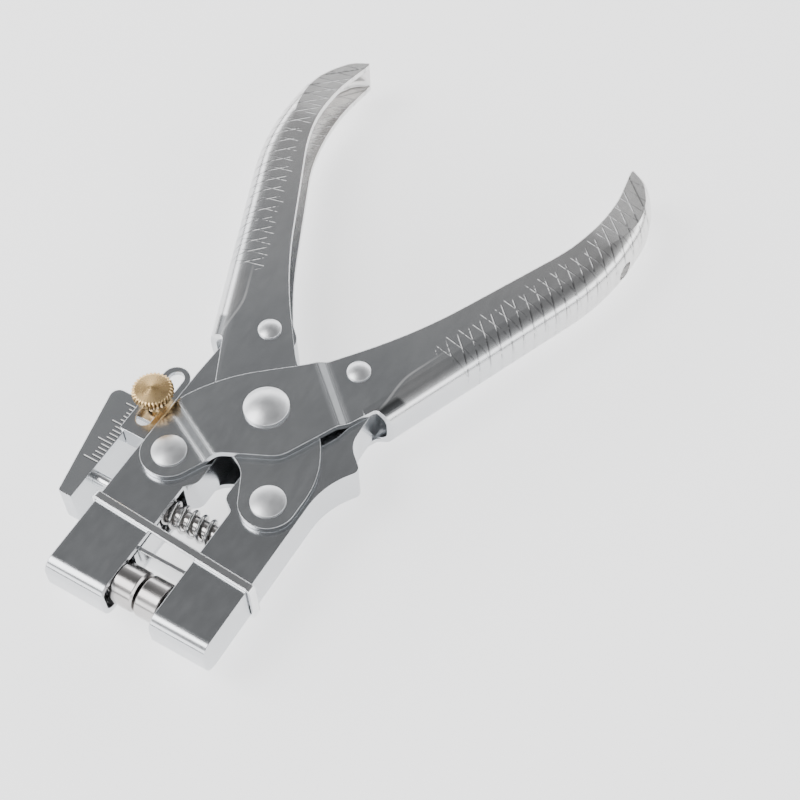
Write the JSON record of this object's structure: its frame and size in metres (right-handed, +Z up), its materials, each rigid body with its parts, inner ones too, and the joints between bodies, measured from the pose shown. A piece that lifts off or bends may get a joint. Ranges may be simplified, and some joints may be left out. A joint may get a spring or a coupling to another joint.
{
  "type": "grommet setter",
  "caption": "Parallel-jaw hand pliers that set eyelets: folded grips, spring-opened jaws with facing dies, and an edge gauge held by a brass thumb screw",
  "frame": {"origin": "middle of the underside of the open tool's box, on the surface it lies on", "axes": "+X towards the grips, +Y towards the left jaw, +Z up, square to the plates"},
  "size_m": [0.1532, 0.0938, 0.0209],
  "materials": {
    "chrome_plate": "satin chrome plate on pressed steel sheet",
    "gauge_sheet": "bright plated sheet",
    "rivet_steel": "polished domed rivet heads",
    "die_steel": "turned and ground steel",
    "spring_steel": "drawn spring wire",
    "knob_brass": "satin turned brass"
  },
  "bodies": {
    "left_jaw": {"left_jaw_shell": "chrome_plate", "left_jaw_liner": "gauge_sheet", "left_die_block": "die_steel", "punch_core": "die_steel", "left_spring_seat": "die_steel", "guide_rod": "die_steel", "jaw_band": "chrome_plate", "gauge_bracket": "chrome_plate", "left_jaw_rivet": "rivet_steel", "return_spring": "spring_steel", "left_sleeve_spring": "spring_steel"},
    "right_jaw": {"right_jaw_shell": "chrome_plate", "right_die_block": "die_steel", "anvil_core": "die_steel", "right_spring_seat": "die_steel", "right_jaw_rivet": "rivet_steel", "right_sleeve_spring": "spring_steel"},
    "right_grip": {"right_handle": "chrome_plate", "right_guide_rivet": "rivet_steel", "pivot_rivet": "rivet_steel"},
    "left_grip": {"left_handle": "chrome_plate", "left_guide_rivet": "rivet_steel"},
    "left_sleeve": {"left_die_sleeve": "die_steel"},
    "right_sleeve": {"right_die_sleeve": "die_steel"},
    "gauge": {"gauge_body": "gauge_sheet", "gauge_fence": "gauge_sheet", "clamp_nut": "die_steel"},
    "clamp_screw": {"thumb_screw": "knob_brass"}
  },
  "joints": [
    {"name": "right_grip_squeeze", "type": "hinge", "parent": "left_jaw", "child": "right_grip", "pos_m": [-0.04249, 0.0123, 0.00985], "axis": [0, 0, 1], "range_deg": [0, 9]},
    {"name": "right_jaw_slide", "type": "slide", "parent": "left_jaw", "child": "right_jaw", "axis": [0, 1, 0], "range_m": [0, 0.00603], "deforming": ["return_spring"]},
    {"name": "left_grip_squeeze", "type": "hinge", "parent": "right_jaw", "child": "left_grip", "pos_m": [-0.04249, -0.0123, 0.00985], "axis": [0, 0, -1], "range_deg": [0, 9]},
    {"name": "left_sleeve_slide", "type": "slide", "parent": "left_jaw", "child": "left_sleeve", "axis": [0, 1, 0], "range_m": [0, 0.0029], "deforming": ["left_sleeve_spring"]},
    {"name": "right_sleeve_slide", "type": "slide", "parent": "right_jaw", "child": "right_sleeve", "axis": [0, -1, 0], "range_m": [0, 0.0029], "deforming": ["right_sleeve_spring"]},
    {"name": "gauge_slide", "type": "slide", "parent": "left_jaw", "child": "gauge", "axis": [1, 0, 0], "range_m": [-0.0015, 0.0048]},
    {"name": "thumb_screw_turn", "type": "hinge", "parent": "gauge", "child": "clamp_screw", "pos_m": [-0.03339, 0.02245, 0.00985], "axis": [0, 0, 1], "continuous": true}
  ],
  "couplings": [
    {"joint": "right_jaw_slide", "follows": "right_grip_squeeze", "m_per_rad": 0.038378},
    {"joint": "left_grip_squeeze", "follows": "right_grip_squeeze", "ratio": 1},
    {"joint": "left_sleeve_slide", "follows": "right_grip_squeeze", "m_per_rad": 0.018462},
    {"joint": "right_sleeve_slide", "follows": "right_grip_squeeze", "m_per_rad": 0.018462}
  ]
}
